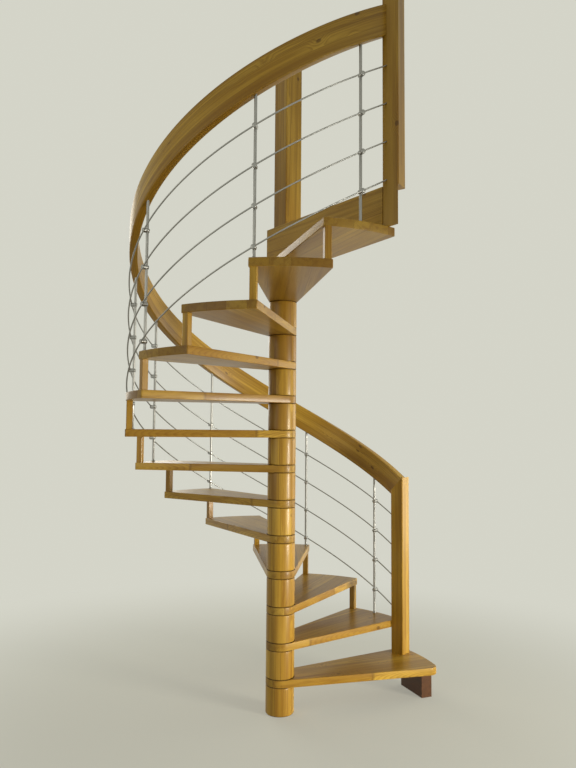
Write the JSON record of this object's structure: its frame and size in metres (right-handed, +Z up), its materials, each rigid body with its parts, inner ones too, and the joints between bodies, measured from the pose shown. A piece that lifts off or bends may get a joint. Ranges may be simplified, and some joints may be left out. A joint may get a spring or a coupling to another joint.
{
  "type": "spiral staircase",
  "caption": "spiral staircase with radial wooden treads on a drum column, a laminated helical handrail, steel balusters and helical infill rods",
  "frame": {"origin": "centre of the column's foot, on the floor", "axes": "+Z is up along the column; the stair climbs counter-clockwise seen from above, and its first riser faces the -Y side at +X"},
  "size_m": [1.7194, 1.6808, 3.64],
  "materials": {
    "tread_wood": "satin varnished softwood boards",
    "column_wood": "satin varnished turned softwood",
    "strut_wood": "satin varnished softwood",
    "post_wood": "satin varnished softwood",
    "handrail_wood": "satin varnished laminated softwood",
    "steel": "satin brushed steel rod"
  },
  "bodies": {
    "root": {"tread_01": "tread_wood", "tread_02": "tread_wood", "tread_03": "tread_wood", "tread_04": "tread_wood", "tread_05": "tread_wood", "tread_06": "tread_wood", "tread_07": "tread_wood", "tread_08": "tread_wood", "tread_09": "tread_wood", "tread_10": "tread_wood", "tread_11": "tread_wood", "tread_12": "tread_wood", "tread_13": "tread_wood", "column_drums": "column_wood", "tread_struts": "strut_wood", "centre_post": "post_wood", "start_newel": "post_wood", "upper_newel": "post_wood", "landing_riser": "post_wood", "first_tread_foot": "strut_wood", "handrail_lower": "handrail_wood", "handrail_upper": "handrail_wood", "baluster_1": "steel", "baluster_2": "steel", "baluster_3": "steel", "baluster_4": "steel", "baluster_5": "steel", "baluster_6": "steel", "baluster_7": "steel", "baluster_8": "steel", "infill_rod_1": "steel", "infill_rod_2": "steel", "infill_rod_3": "steel", "infill_rod_4": "steel"}
  },
  "joints": []
}
